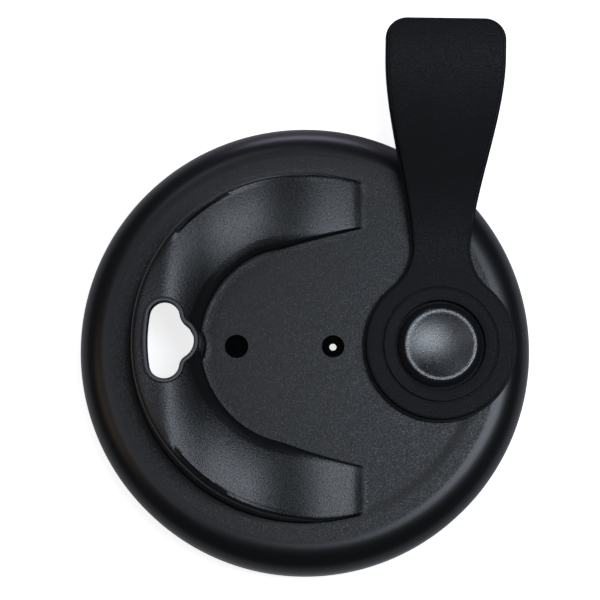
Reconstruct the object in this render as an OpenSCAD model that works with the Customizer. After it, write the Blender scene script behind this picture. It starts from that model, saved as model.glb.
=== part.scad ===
// Press-on lid for a reusable coffee cup: a one-piece moulded lid with a raised crescent
// mouthpiece, a soft closure strap that swivels on a stud, and the stud itself.
// Z is up, the origin is on the lid's axis at the bottom of the skirt, the mouthpiece is at -X.

/* [Lid shell] */
// Outside diameter at the bottom of the skirt
lid_d = 96; // [90:0.5:104]
// Height of the flat border above the bottom edge
border_z = 13; // [12:0.5:18]
// Radius of the round shoulder between border and skirt
shoulder_r = 6; // [4:0.25:7]
// How far the skirt leans in from its bottom edge to the shoulder, in degrees
skirt_draft = 2; // [0:0.5:4]
// Wall thickness of the skirt at the bottom
skirt_wall = 2.4; // [1.8:0.1:3]
// Thickness of the deck
deck_wall = 1.8; // [1.4:0.1:2.4]
// How far the deck lies below the border
deck_drop = 0.3; // [0.2:0.05:0.5]
// Radius where the deck starts to rise to the border
deck_r = 35.5; // [35.5:0.25:36.5]
// Radius where that rise ends
rise_r = 38.5; // [38:0.25:40]
// Radius that rounds the skirt's bottom edge
foot_r = 0.8; // [0.4:0.1:1.1]
// Height of the straight inner face that grips the cup
grip_h = 6.8; // [4:0.1:7]

/* [Mouthpiece] */
// Outer base radius of the crescent
mouth_out_r = 37.4; // [36:0.1:38.4]
// Inner base radius of the crescent
mouth_in_r = 21.2; // [20:0.1:23]
// Height of the crescent's middle line above the deck at its highest
mouth_h = 11; // [9:0.1:11.4]
// X of the highest place of the crescent
mouth_peak_x = -30; // [-32:0.5:-26]
// X where the two arms ramp down into the deck
ramp_end_x = 12.5; // [10:0.5:14]
// How much higher the outer edge lies than the middle line
mouth_tilt = 0.8; // [0:0.1:1.2]
// Share of the way down over which the top bends from its highest place into the straight ramp
ramp_bend = 0.2; // [0.1:0.05:0.5]
// How hollow the top is across the crescent
mouth_dish = 0.5; // [0:0.1:1]
// Radius that rounds the crescent's top edges
brow_r = 1.1; // [0.6:0.1:1.6]
// Radius of the fillet at the foot of its walls
root_r = 0.7; // [0.3:0.1:1]
// Angle from +X at which the inner wall leaves its circle and runs straight on
arm_leave_a = 104.4; // [98:0.2:110]
// Wall thickness of the mouthpiece, measured in plan
mouth_wall = 1.4; // [1.2:0.1:1.5]
// Thickness of its top
mouth_top = 2; // [2:0.1:2.4]

/* [Drink hole] */
// Distance of the hole's outer side from the lid's axis
hole_out_r = 32.3; // [32:0.1:32.6]
// Half of the hole's length along the rim
hole_half = 7.9; // [7.5:0.02:8.2]
// Radius of the hole's two round ends
hole_end_r = 3.1; // [2.8:0.1:3.4]
// Radius of the lobe that lets air in
lobe_r = 4; // [3.7:0.1:4.2]
// X of the lobe's centre
lobe_x = -26.8; // [-27.2:0.1:-26.4]
// Radius of the necks between lobe and ends
neck_r = 2.6; // [2.2:0.1:3]
// Width of the raised lip round the hole
lip_w = 1; // [0.7:0.1:1.1]
// Height of the lip above the crescent's middle line, both at the highest place
lip_h = 1.4; // [1.2:0.1:1.8]
// Slope of the lip's top, in degrees
lip_slope = 10.8; // [9:0.1:12]
// How much wider the lobe's boss is at the deck
boss_flare = 0.9; // [0.4:0.1:1.2]

/* [Vent and gate] */
// X of the vent
vent_x = 5.9; // [3:0.1:8]
// Radius of the vent's recess
vent_r = 2.25; // [1.8:0.05:3]
// Radius of the vent's through hole
vent_hole_r = 0.75; // [0.4:0.05:1.2]
// X of the gate mark
gate_x = -14.4; // [-16:0.1:-10]
// Radius of the gate mark's recess
gate_r = 2.35; // [1.8:0.05:3]
// Radius of the nub left in it
nub_r = 0.95; // [0.5:0.05:1.2]
// Depth of both recesses
recess_h = 1.2; // [0.5:0.1:1.2]
// Height of the nub
nub_h = 0.45; // [0.2:0.05:0.5]

/* [Stud] */
// Distance of the stud's axis, which is the strap's swivel axis, from the lid's side
stud_inset = 19.7; // [19:0.1:21]
// Radius of the stud's head
head_r = 8.75; // [8:0.05:9.5]
// Radius of the head's face, inside its sloping flank
face_r = 7.6; // [7.2:0.05:7.9]
// How far the flank drops from the face to the head's side
flank_h = 1.6; // [1.2:0.1:1.8]
// Radius that rounds the edge between face and flank
head_round = 0.5; // [0.3:0.05:0.6]
// Height of the head's top above the deck
head_z = 4; // [3.9:0.1:4.6]
// Depth of the dish in the head
dish_h = 0.55; // [0.2:0.05:0.8]
// Radius of the dish
dish_r = 6.8; // [5:0.1:6.8]
// Radius of the shank that the strap turns on
shank_r = 6.95; // [6:0.05:7]
// Radius of the spigot through the deck
spigot_r = 4; // [3:0.1:5]
// How far the snap ring stands out under the deck
snap_out = 0.6; // [0.3:0.1:1]
// Height of the snap ring
snap_h = 1.2; // [0.8:0.1:2]

/* [Strap] */
// Outer radius of the strap's ring
ring_r = 16.1; // [15:0.1:17]
// Thickness of the ring
ring_h = 2.45; // [2:0.05:3]
// Radius of the opening round the head, over the flange
well_r = 9.35; // [9.3:0.05:10.2]
// Thickness of the flange that the head holds down
flange_h = 1; // [0.7:0.05:1.2]
// Outer radius of the low collar round the opening
collar_r = 11.85; // [11:0.05:13]
// Height of that collar
collar_h = 0.3; // [0.15:0.05:0.5]
// Width of the fine groove round the collar
groove_w = 0.3; // [0.2:0.05:0.4]
// Depth of that groove
groove_h = 0.35; // [0.2:0.05:0.6]
// Distance from the stud's axis to the strap's tip
strap_len = 66.8; // [64:0.1:72]
// Width at the waist
waist_w = 12.6; // [10:0.1:16]
// Distance of the waist from the stud's axis
waist_s = 21; // [19:0.5:24]
// Width at the tip
tip_w = 25; // [22:0.1:28]
// Corner radius at the tip
tip_round = 4.5; // [2:0.1:7]
// Thickness at the tip
tip_h = 2.1; // [1.8:0.05:2.6]
// Height of the tip's underside above the lip, over the crescent's highest place
tip_lift = 2.05; // [2:0.05:2.6]
// Width of the step along the strap's upper edge
edge_step = 0.5; // [0.3:0.05:0.8]
// Height of the strap's lower edge below that step
edge_h = 0.9; // [0.6:0.05:1.2]
// How much smaller than the drink hole the stopper is, all round
plug_gap = 0.2; // [0.1:0.05:0.3]
// Turn of the strap from +X as shown, in degrees
strap_turn = 89.2; // [80:0.1:100]

/* [Clearances] */
// Radial clearance of the strap on the shank
turn_gap = 0.08; // [0.05:0.01:0.1]
// Play above and below the strap's flange
lift_gap = 0.15; // [0.1:0.01:0.2]
// Clearance of the spigot in the deck
spigot_gap = 0.05; // [0.02:0.01:0.1]
// Height that the stopper clears the lip by as the strap swings
swing_gap = 0.5; // [0.3:0.05:0.8]

/* [Hidden] */
$fn = 96;
over = 0.5;
deck_z = border_z - deck_drop;
deck_under = deck_z - deck_wall;
lid_r = lid_d / 2;
stud_x = lid_r - stud_inset;
shoulder_z = border_z - shoulder_r;
shoulder_x = lid_r - (shoulder_z - foot_r) * tan(skirt_draft) - shoulder_r;
grip_r = lid_r - skirt_wall;
corner_r = deck_under - grip_h;
mouth_stations = 28;
mouth_steps = 7;
dish_steps = 8;
mouth_root = 1.4;
foot_sink = 0.05;
ramp_over = 1.5;
loft_end_x = ramp_end_x + ramp_over;
end_c = [-sqrt(pow(hole_out_r - hole_end_r, 2) - pow(hole_half - hole_end_r, 2)), hole_half - hole_end_r];
lobe_c = [lobe_x, 0];
neck_c = touch_both(end_c, hole_end_r + neck_r, lobe_c, lobe_r + neck_r);
lip_top = deck_z + mouth_h + lip_h;
waist_r = (pow(waist_s, 2) + pow(waist_w / 2, 2) - pow(ring_r, 2)) / (2 * ring_r - waist_w);
waist_c = [waist_s, waist_w / 2 + waist_r];
flare_s0 = waist_s - 2.5;
flare_s1 = strap_len - 8.2;
climb_s0 = ring_r + 0.9;
climb_s1 = strap_len - 2.8;
strap_z = border_z + lift_gap;
strap_rise = lip_top + tip_lift - strap_z;
spigot_hole_r = spigot_r + spigot_gap;
well_floor = strap_z + flange_h;

// Blends from 0 to 1 with level ends
function ease(q) = let (c = min(max(q, 0), 1)) c * c * (3 - 2 * c);

// Points along an arc
function arc(c, r, a0, a1, n) = [for (i = [0 : n]) let (a = a0 + (a1 - a0) * i / n) c + r * [cos(a), sin(a)]];

// The point at distance ra from a and rb from b, on the right of the way from a to b
function touch_both(a, ra, b, rb) =
    let (d = norm(b - a), t = (ra * ra - rb * rb + d * d) / (2 * d), h = sqrt(ra * ra - t * t), e = (b - a) / d)
    a + t * e + h * [-e[1], e[0]];

// Angle of the way from a to b
function heading(a, b) = atan2(b[1] - a[1], b[0] - a[0]);

// The drink hole's outline, grown outwards by g
function hole_upper(g) = let (
        lobe_a = heading(lobe_c, neck_c),
        end_a = heading(end_c, neck_c),
        rim_a = heading([0, 0], end_c))
    concat(
        arc(lobe_c, lobe_r + g, 0, lobe_a, 8),
        arc(neck_c, neck_r - g, lobe_a + 180, end_a + 180, 5),
        arc(end_c, hole_end_r + g, end_a, rim_a, 12),
        arc([0, 0], hole_out_r + g, rim_a, 180, 4));
function mirrored(p) = [for (i = [len(p) - 2 : -1 : 1]) [p[i][0], -p[i][1]]];
function hole_outline(g) = let (u = hole_upper(g)) concat(u, mirrored(u));

// How much of its full height the crescent has at x, below 0 past the ramp's end
function ramp(x) = let (u = (max(x, mouth_peak_x) - mouth_peak_x) / (ramp_end_x - mouth_peak_x))
    u < ramp_bend ? 1 - u * u / (ramp_bend * (2 - ramp_bend)) : 2 * (1 - u) / (2 - ramp_bend);

// Widths in plan of the inner and the outer wall at a height h
function width_in(h) = 0.6 + 0.19 * max(0, h);
function width_out(h) = min(0.7 + 0.32 * max(0, h), 1.6 + 0.1 * h);

// Inner base radius at an angle from +X: a circle at the back, then a straight line that touches it
function inner_r(a) = a < arm_leave_a ? mouth_in_r / cos(arm_leave_a - a) : mouth_in_r;

// Foot of a wall of height h, sunk a little into the deck, and more where the ramp dives under it
function foot(h) = min(-foot_sink, h - 0.4);

// Foot and top of a wall that climbs h within the width w, with fillets b at the foot and t at the top
function wall_line(h, w, b, t) = let (
        d = norm([w, h - b - t]),
        a = atan2(h - b - t, w) + asin(min(0.99, (b + t) / d)),
        half = (mouth_steps - 1) / 2)
    concat(
        [for (i = [0 : half]) let (k = a * i / half) [b * sin(k), b * (1 - cos(k))]],
        [for (i = [half : -1 : 0]) let (k = a * i / half) [w - t * sin(k), h - t * (1 - cos(k))]]);

function wall_shape(h, w) = wall_line(h, w, min(root_r, 0.3 * h), min(brow_r, 0.4 * h));

// The crescent's section between an inner and an outer base point
function section(p_in, p_out, inset) = let (
        q_in = p_in + (p_out - p_in) * inset / norm(p_out - p_in),
        q_out = p_out - (p_out - p_in) * inset / norm(p_out - p_in),
        span = norm(q_out - q_in),
        dir = (q_out - q_in) / span,
        full = ramp((q_in[0] + q_out[0]) / 2),
        h_in = ramp(q_in[0]) * mouth_h + full * (mouth_dish - mouth_tilt),
        h_out = ramp(q_out[0]) * mouth_h + full * (mouth_dish + mouth_tilt),
        w_in = width_in(h_in),
        w_out = width_out(h_out),
        inner = wall_shape(h_in - foot(h_in), w_in),
        outer = wall_shape(h_out - foot(h_out), w_out),
        z_in = deck_z + foot(h_in),
        z_out = deck_z + foot(h_out),
        rise = [for (k = inner) concat(q_in + dir * k[0], z_in + k[1])],
        fall = [for (i = [len(outer) - 1 : -1 : 0]) concat(q_out - dir * outer[i][0], z_out + outer[i][1])],
        top = [for (i = [1 : dish_steps - 1]) let (
                t = 2 * i / dish_steps - 1,
                s = w_in + (span - w_in - w_out) * i / dish_steps,
                p = q_in + dir * s)
            concat(p, deck_z + ramp(p[0]) * mouth_h + full * (mouth_dish * t * t + mouth_tilt * t))])
    concat([concat(q_in, deck_z - mouth_root)], rise, top, fall, [concat(q_out, deck_z - mouth_root)]);

// The crescent as a loft of sections from one tip to the other
module crescent(inset) {
    slope = tan(arm_leave_a - 90);
    tip_in = atan2(mouth_in_r / cos(arm_leave_a - 90) + slope * loft_end_x, loft_end_x);
    tip_out = acos(loft_end_x / mouth_out_r);
    sections = [for (i = [0 : 2 * mouth_stations]) let (
            u = i / mouth_stations,
            v = u <= 1 ? u : 2 - u,
            a_in = tip_in + (180 - tip_in) * v,
            a_out = tip_out + (180 - tip_out) * v,
            side = u <= 1 ? 1 : -1)
        section(inner_r(a_in) * [cos(a_in), side * sin(a_in)],
            mouth_out_r * [cos(a_out), side * sin(a_out)], inset)];
    n = len(sections[0]);
    last = len(sections) - 1;
    points = [for (s = sections) each s];
    skin = [for (i = [0 : last - 1], j = [0 : n - 1]) let (
            a = i * n + j,
            b = i * n + (j + 1) % n,
            c = (i + 1) * n + (j + 1) % n,
            d = (i + 1) * n + j)
        each [[a, c, b], [a, d, c]]];
    caps = [[for (j = [0 : n - 1]) j], [for (j = [n - 1 : -1 : 0]) last * n + j]];
    polyhedron(points = points, faces = concat(skin, caps));
}

// Half section of the shell: skirt, shoulder, border, deck and the inner corner
module shell_section() {
    rise_n = 10;
    polygon(concat(
        [[grip_r, 0], [lid_r - foot_r, 0]],
        arc([lid_r - foot_r, foot_r], foot_r, -60, skirt_draft, 4),
        arc([shoulder_x, shoulder_z], shoulder_r, skirt_draft, 90, 16),
        [for (i = [rise_n : -1 : 0]) [deck_r + (rise_r - deck_r) * i / rise_n, deck_z + deck_drop * ease(i / rise_n)]],
        [[0, deck_z], [0, deck_under]],
        arc([grip_r - corner_r, grip_h], corner_r, 90, 0, 10)));
}

// Everything above the lip's sloping top, as a block turned about the highest place of the crescent
module above_lip(gap, tall) {
    translate([mouth_peak_x, 0, lip_top + gap]) rotate([0, lip_slope, 0])
        translate([-3 * lid_r, -lid_r, 0]) cube([4 * lid_r, lid_d, tall]);
}

// The raised lip, with the boss that carries its lobe down to the deck
module lip() {
    difference() {
        union() {
            translate([0, 0, deck_z + mouth_h / 2]) linear_extrude(2 * mouth_h) polygon(hole_outline(lip_w));
            translate([lobe_x, 0, deck_z - over])
                cylinder(r1 = lobe_r + lip_w + boss_flare, r2 = lobe_r + lip_w / 2, h = 2 * mouth_h);
        }
        above_lip(0, 4 * mouth_h);
    }
}

module lid() {
    color("#17181b") difference() {
        union() {
            rotate_extrude() shell_section();
            crescent(0);
            lip();
        }
        intersection() {
            translate([0, 0, -mouth_top]) crescent(mouth_wall);
            translate([-lid_d, -lid_d, 0]) cube([2 * lid_d, 2 * lid_d, 2 * lid_d]);
        }
        translate([0, 0, deck_under - over]) linear_extrude(4 * mouth_h) polygon(hole_outline(0));
        translate([vent_x, 0, deck_z - recess_h]) cylinder(r = vent_r, h = recess_h + over);
        translate([vent_x, 0, deck_under - over]) cylinder(r = vent_hole_r, h = deck_wall + 2 * over);
        translate([gate_x, 0, deck_z - recess_h]) difference() {
            cylinder(r = gate_r, h = recess_h + over);
            translate([0, 0, -over]) cylinder(r = nub_r, h = nub_h + over);
        }
        translate([stud_x, 0, deck_under - over]) cylinder(r = spigot_hole_r, h = deck_wall + 2 * over);
    }
}

// Dished head over the strap, shank in the strap, spigot and snap ring through the deck
module stud() {
    head_under = well_floor + lift_gap;
    head_top = deck_z + head_z;
    snap_r = spigot_r + snap_out;
    dish_ball = (dish_r * dish_r + dish_h * dish_h) / (2 * dish_h);
    flank_a = atan2(head_r - face_r, flank_h);
    edge_x = face_r - head_round * (1 - sin(flank_a)) / cos(flank_a);
    color("#26272b") translate([stud_x, 0, 0]) difference() {
        rotate_extrude() polygon(concat(
            [[0, deck_under - snap_h], [spigot_r, deck_under - snap_h], [snap_r, deck_under - snap_h / 2],
                [snap_r, deck_under], [spigot_r, deck_under], [spigot_r, deck_z], [shank_r, deck_z],
                [shank_r, head_under], [head_r, head_under], [head_r, head_top - flank_h]],
            arc([edge_x, head_top - head_round], head_round, flank_a, 90, 6),
            [[0, head_top]]));
        translate([0, 0, head_top - dish_h + dish_ball]) sphere(r = dish_ball);
    }
}

// Half width of the strap's arm at a distance s from the stud
function half_width(s) = waist_w / 2 + (tip_w - waist_w) / 2 * ease((s - flare_s0) / (flare_s1 - flare_s0));

// Height of the arm's underside above its seat
function climb(s) = strap_rise * ease((s - climb_s0) / (climb_s1 - climb_s0));

// Outline of the arm in plan, drawn in by g: from inside the ring, round the waist, to the tip
function arm_upper(g) = let (
        ring_a = heading([0, 0], waist_c),
        side_n = 12)
    concat(
        [[0, (ring_r - g) * sin(ring_a)]],
        arc(waist_c, waist_r + g, ring_a + 180, 270, 6),
        [for (i = [1 : side_n]) let (s = waist_s + (strap_len - tip_round - waist_s) * i / side_n)
            [s, half_width(s) - g]],
        arc([strap_len - tip_round, tip_w / 2 - tip_round], tip_round - g, 75, 0, 5));

module arm_plan(g) {
    u = arm_upper(g);
    polygon(concat(u, [for (i = [len(u) - 1 : -1 : 0]) [u[i][0], -u[i][1]]]));
}

// Side view of the arm between two heights above its underside; high = 1 follows the top
module arm_side(low, thick) {
    n = 24;
    s = [for (i = [0 : n]) climb_s0 - 4 + (strap_len + 5 - climb_s0) * i / n];
    under = [for (k = s) [k, climb(k) + low]];
    upper = [for (i = [n : -1 : 0]) [s[i], climb(s[i]) + thick(s[i])]];
    polygon(concat([[climb_s0 - 7, low]], under, upper, [[climb_s0 - 7, thick(0)]]));
}
function arm_h(s) = ring_h + (tip_h - ring_h) * ease((s - climb_s0) / (climb_s1 - climb_s0));
function arm_step(s) = edge_h;

module arm_layer(inset, low, thick) {
    intersection() {
        linear_extrude(2 * strap_rise) arm_plan(inset);
        translate([0, tip_w, 0]) rotate([90, 0, 0]) linear_extrude(2 * tip_w) arm_side(low, thick);
    }
}

// The strap lying along +X with its ring at the origin
module strap_flat() {
    difference() {
        union() {
            cylinder(r = ring_r, h = edge_h);
            cylinder(r = ring_r - edge_step, h = ring_h);
            cylinder(r = collar_r, h = ring_h + collar_h);
            arm_layer(0, 0, function (s) arm_step(s));
            arm_layer(edge_step, edge_h / 2, function (s) arm_h(s));
            stopper();
        }
        translate([0, 0, -over]) cylinder(r = shank_r + turn_gap, h = ring_h + 2 * over);
        translate([0, 0, flange_h]) cylinder(r = well_r, h = ring_h + 2 * over);
        translate([0, 0, ring_h - groove_h]) difference() {
            cylinder(r = collar_r + groove_w, h = groove_h + collar_h + over);
            translate([0, 0, -over]) cylinder(r = collar_r, h = groove_h + collar_h + 3 * over);
        }
    }
}

// The stopper under the tip: the drink hole's outline, cut off parallel to the lip
module stopper() {
    intersection() {
        linear_extrude(2 * strap_rise) translate([stud_x, 0]) mirror([1, 0]) polygon(hole_outline(-plug_gap));
        translate([stud_x, 0, -strap_z]) mirror([1, 0, 0]) above_lip(swing_gap, 4 * mouth_h);
        translate([0, tip_w, 0]) rotate([90, 0, 0]) linear_extrude(2 * tip_w) under_arm();
    }
}

// Side view of all that lies under the middle of the arm's thickness
module under_arm() {
    n = 24;
    polygon(concat([[climb_s0, 0]], [for (i = [0 : n]) let (k = climb_s0 + (strap_len - climb_s0) * i / n)
        [k, climb(k) + edge_h]], [[strap_len, 0]]));
}

module strap() {
    color("#1f2123") translate([stud_x, 0, strap_z]) rotate([0, 0, strap_turn]) strap_flat();
}

lid();
stud();
strap();
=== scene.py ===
"""Looks of a coffee cup lid: black moulded lid, satin stud, soft closure strap, and the stage."""
import math
from contextlib import contextmanager

import bmesh
import bpy
import numpy as np
from bpy.props import FloatProperty, FloatVectorProperty, IntProperty, PointerProperty
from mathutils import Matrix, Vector
from mathutils.geometry import delaunay_2d_cdt


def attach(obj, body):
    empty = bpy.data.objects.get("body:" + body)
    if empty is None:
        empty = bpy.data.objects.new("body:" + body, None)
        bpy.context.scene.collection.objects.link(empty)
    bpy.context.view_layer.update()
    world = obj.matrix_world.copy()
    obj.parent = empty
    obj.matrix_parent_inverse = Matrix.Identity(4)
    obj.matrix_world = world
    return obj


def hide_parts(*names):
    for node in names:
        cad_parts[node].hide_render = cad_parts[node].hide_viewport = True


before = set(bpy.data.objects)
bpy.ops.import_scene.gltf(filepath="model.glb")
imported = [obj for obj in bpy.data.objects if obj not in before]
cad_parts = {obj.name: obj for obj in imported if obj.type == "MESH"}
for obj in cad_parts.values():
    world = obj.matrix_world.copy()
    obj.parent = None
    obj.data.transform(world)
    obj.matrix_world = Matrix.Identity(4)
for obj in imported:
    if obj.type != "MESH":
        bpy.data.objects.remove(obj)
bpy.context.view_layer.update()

bl_info = {
    "name": "Coffee cup lid",
    "version": (1, 0, 0),
    "blender": (4, 5, 0),
    "location": "3D View > Sidebar > Cup lid",
    "description": "Builds a cup lid with a raised mouthpiece and a swivelling closure strap",
    "category": "Add Mesh",
}

MM = 0.001


# Properties

def length(name, mm, text):
    """A length property whose default is given in millimetres."""
    return FloatProperty(name=name, description=text, default=mm * MM, unit="LENGTH", precision=5)


def angle(name, degrees, text):
    """An angle property whose default is given in degrees."""
    return FloatProperty(name=name, description=text, default=math.radians(degrees), subtype="ANGLE")


def linear(hex_colour):
    """An sRGB hex colour as linear RGBA."""
    parts = [int(hex_colour[i:i + 2], 16) / 255 for i in (1, 3, 5)]
    return [c / 12.92 if c <= 0.04045 else ((c + 0.055) / 1.055) ** 2.4 for c in parts] + [1.0]


def colour(name, hex_colour, text):
    """A colour property whose default is given as an sRGB hex value."""
    return FloatVectorProperty(name=name, description=text, default=linear(hex_colour), size=4,
                               subtype="COLOR", min=0, max=1)


class ShellSizes(bpy.types.PropertyGroup):
    lid_d: length("Lid diameter", 96, "Outside diameter at the bottom of the skirt")
    border_z: length("Border height", 13, "Height of the flat border")
    shoulder_r: length("Shoulder radius", 6, "Radius between border and skirt")
    skirt_draft: angle("Skirt draft", 2, "Lean of the skirt")
    skirt_wall: length("Skirt wall", 2.4, "Thickness of the skirt")
    deck_wall: length("Deck wall", 1.8, "Thickness of the deck")
    deck_drop: length("Deck drop", 0.3, "How far the deck lies below the border")
    deck_r: length("Deck radius", 35.5, "Where the deck starts to rise to the border")
    rise_r: length("Rise radius", 38.5, "Where that rise ends")
    foot_r: length("Foot radius", 0.8, "Round of the skirt's bottom edge")
    grip_h: length("Grip height", 6.8, "Height of the inner face that grips the cup")
    vent_x: length("Vent X", 5.9, "Place of the vent")
    vent_r: length("Vent radius", 2.25, "Radius of the vent's recess")
    vent_hole_r: length("Vent hole radius", 0.75, "Radius of the vent's through hole")
    gate_x: length("Gate X", -14.4, "Place of the gate mark")
    gate_r: length("Gate radius", 2.35, "Radius of the gate mark's recess")
    nub_r: length("Nub radius", 0.95, "Radius of the nub left in the gate mark")
    recess_h: length("Recess depth", 1.2, "Depth of both recesses")
    nub_h: length("Nub height", 0.45, "Height of the nub")
    grain_r: length("Grain radius", 41.3, "Where the border's grain ends")
    columns: IntProperty(name="Columns", default=120, min=20,
                         description="Mesh columns along one arm of the crescent")


class MouthSizes(bpy.types.PropertyGroup):
    out_r: length("Outer radius", 37.4, "Outer base radius of the crescent")
    in_r: length("Inner radius", 21.2, "Inner base radius of the crescent")
    height: length("Height", 11, "Height of the middle line above the deck")
    peak_x: length("Peak X", -30, "Where the crescent is highest")
    end_x: length("Ramp end X", 12.5, "Where the arms ramp down into the deck")
    tilt: length("Tilt", 0.8, "How much higher the outer edge lies than the middle line")
    bend: FloatProperty(name="Bend", default=0.2, min=0.05, max=0.9,
                        description="Share of the way down over which the top bends into the ramp")
    crown: length("Crown", 0.5, "How much the top bulges across the crescent")
    swing: length("Swing", 0.42, "How far the arms' top swings above and below the straight ramp")
    swing_len: length("Swing length", 22, "Length of one such swing along X")
    brow_r: length("Brow radius", 1.1, "Round of the outer top edge")
    brow_in: length("Inner brow radius", 1.9, "Round of the inner top edge")
    root_r: length("Root radius", 0.7, "Fillet at the foot of the outer wall")
    root_in: length("Inner root radius", 1.5, "Fillet at the foot of the inner wall")
    leave: angle("Leave angle", 104.4, "Where the inner wall leaves its circle and runs straight on")
    wall: length("Wall", 1.4, "Wall thickness in plan")
    top: length("Top thickness", 2, "Thickness of the top")


class HoleSizes(bpy.types.PropertyGroup):
    out_r: length("Outer radius", 32.3, "Distance of the hole's outer side from the lid's axis")
    half: length("Half length", 7.9, "Half of the hole's length")
    end_r: length("End radius", 3.1, "Radius of the two round ends")
    lobe_r: length("Lobe radius", 4, "Radius of the air lobe")
    lobe_x: length("Lobe X", -26.8, "Centre of the lobe")
    neck_r: length("Neck radius", 2.6, "Radius of the necks")
    lip_w: length("Lip width", 1, "Width of the raised lip")
    lip_h: length("Lip height", 1.4, "Height of the lip above the middle line, both at the highest place")
    lip_slope: angle("Lip slope", 10.8, "Slope of the lip's top")
    lip_round: length("Lip round", 0.18, "Round of the lip's edges")
    boss_flare: length("Boss flare", 0.9, "How much wider the lobe's boss is at the deck")


class StudSizes(bpy.types.PropertyGroup):
    x: length("Stud X", 28.3, "Place of the stud")
    head_r: length("Head radius", 8.75, "Radius of the head")
    face_r: length("Face radius", 7.6, "Radius of the head's face, inside its flank")
    flank_h: length("Flank height", 1.6, "How far the flank drops to the head's side")
    head_round: length("Head round", 0.5, "Round between face and flank")
    head_z: length("Head height", 4, "Height of the head above the deck")
    dish_h: length("Dish depth", 0.9, "Depth of the dish")
    dish_r: length("Dish radius", 6.8, "Radius of the dish")
    shank_r: length("Shank radius", 6.95, "Radius of the shank")
    spigot_r: length("Spigot radius", 4, "Radius of the spigot")
    snap_out: length("Snap width", 0.6, "How far the snap ring stands out")
    snap_h: length("Snap height", 1.2, "Height of the snap ring")
    steps: IntProperty(name="Steps", description="Steps round the stud", default=144, min=24)


class StrapSizes(bpy.types.PropertyGroup):
    ring_r: length("Ring radius", 16.1, "Outer radius of the ring")
    ring_h: length("Ring thickness", 2.45, "Thickness of the ring")
    well_r: length("Well radius", 9.35, "Opening round the head")
    flange_h: length("Flange thickness", 1, "Thickness of the flange under the head")
    collar_r: length("Collar radius", 11.85, "Outer radius of the low collar")
    collar_h: length("Collar height", 0.3, "Height of the collar")
    groove_w: length("Groove width", 0.42, "Width of the fine groove round the collar")
    groove_h: length("Groove depth", 0.35, "Depth of that groove")
    reach: length("Reach", 66.8, "Distance from the stud's axis to the tip")
    waist_w: length("Waist width", 12.6, "Width at the waist")
    waist_s: length("Waist distance", 21, "Distance of the waist from the stud's axis")
    tip_w: length("Tip width", 25, "Width at the tip")
    tip_round: length("Tip round", 4.5, "Corner radius at the tip")
    tip_h: length("Tip thickness", 2.1, "Thickness at the tip")
    tip_lift: length("Tip lift", 2.05, "Height of the tip's underside above the lip, at the highest place")
    edge_step: length("Edge step", 0.5, "Width of the step along the upper edge")
    edge_h: length("Edge height", 0.9, "Height of the lower edge")
    plug_gap: length("Stopper gap", 0.2, "How much smaller than the hole the stopper is")
    swing_gap: length("Swing gap", 0.5, "Height that the stopper clears the lip by")
    lift_gap: length("Lift gap", 0.15, "Play under the strap's ring")
    turn_gap: length("Turn gap", 0.08, "Radial clearance on the shank")
    turn: angle("Turn", 89.2, "Direction of the strap from +X")


class LookSettings(bpy.types.PropertyGroup):
    lid_colour: colour("Lid colour", "#0F1012", "Black polypropylene")
    stud_colour: colour("Stud colour", "#202124", "Black polypropylene of the stud")
    strap_colour: colour("Strap colour", "#0E1012", "Black elastomer")
    dust_colour: colour("Dust colour", "#8E8F92", "Specks of dust on the strap")
    floor_colour: colour("Floor colour", "#E6E6E6", "The pale floor")


class StageSettings(bpy.types.PropertyGroup):
    cam_x: length("Camera X", -1.051, "Place of the camera")
    cam_y: length("Camera Y", -46.364, "Place of the camera")
    cam_h: length("Camera height", 400, "Height of the camera above the deck")
    tilt: angle("Tilt", 8, "Tilt of the camera")
    view: angle("Field of view", 17.814, "Field of view of the camera")


class Sizes:
    """A property group's values as plain numbers, in millimetres and degrees."""

    def __init__(self, group):
        for key in group.__annotations__:
            value = getattr(group, key)
            kind = group.bl_rna.properties[key]
            if kind.unit == "LENGTH":
                value = value / MM
            elif kind.subtype == "ANGLE":
                value = math.degrees(value)
            setattr(self, key, value)


# Curves

def ease(q):
    """From 0 to 1 with level ends."""
    q = np.clip(q, 0, 1)
    return q * q * (3 - 2 * q)


def arc(centre, radius, start, end, steps):
    """Points along an arc, in degrees."""
    a = np.radians(np.linspace(start, end, steps + 1))
    return np.array(centre) + radius * np.c_[np.cos(a), np.sin(a)]


def heading(a, b):
    """Direction from a to b in degrees."""
    return math.degrees(math.atan2(b[1] - a[1], b[0] - a[0]))


def spoke(a, side):
    """Unit vector at an angle in degrees, mirrored to -Y where side is -1."""
    return np.array([math.cos(math.radians(a)), side * math.sin(math.radians(a))])


def touch_both(a, ra, b, rb):
    """The point at distance ra from a and rb from b, on the left of the way from a to b."""
    a, b = np.array(a, float), np.array(b, float)
    d = np.linalg.norm(b - a)
    along = (ra * ra - rb * rb + d * d) / (2 * d)
    side = math.sqrt(ra * ra - along * along)
    e = (b - a) / d
    return a + along * e + side * np.array([-e[1], e[0]])


def hole_outline(h, grow):
    """The drink hole's outline, grown outwards, as a closed loop."""
    lobe = np.array([h.lobe_x, 0.0])
    end = np.array([-math.sqrt((h.out_r - h.end_r) ** 2 - (h.half - h.end_r) ** 2), h.half - h.end_r])
    neck = touch_both(end, h.end_r + h.neck_r, lobe, h.lobe_r + h.neck_r)
    rim = heading((0, 0), end)
    upper = np.vstack([
        arc(lobe, h.lobe_r + grow, 0, heading(lobe, neck), 16),
        arc(neck, h.neck_r - grow, heading(lobe, neck) + 180, heading(end, neck) + 180, 10)[1:],
        arc(end, h.end_r + grow, heading(end, neck), rim, 26)[1:],
        arc((0, 0), h.out_r + grow, rim, 180, 12)[1:],
    ])
    return np.vstack([upper, upper[-2:0:-1] * [1, -1]])


# The shell and the crescent

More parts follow.
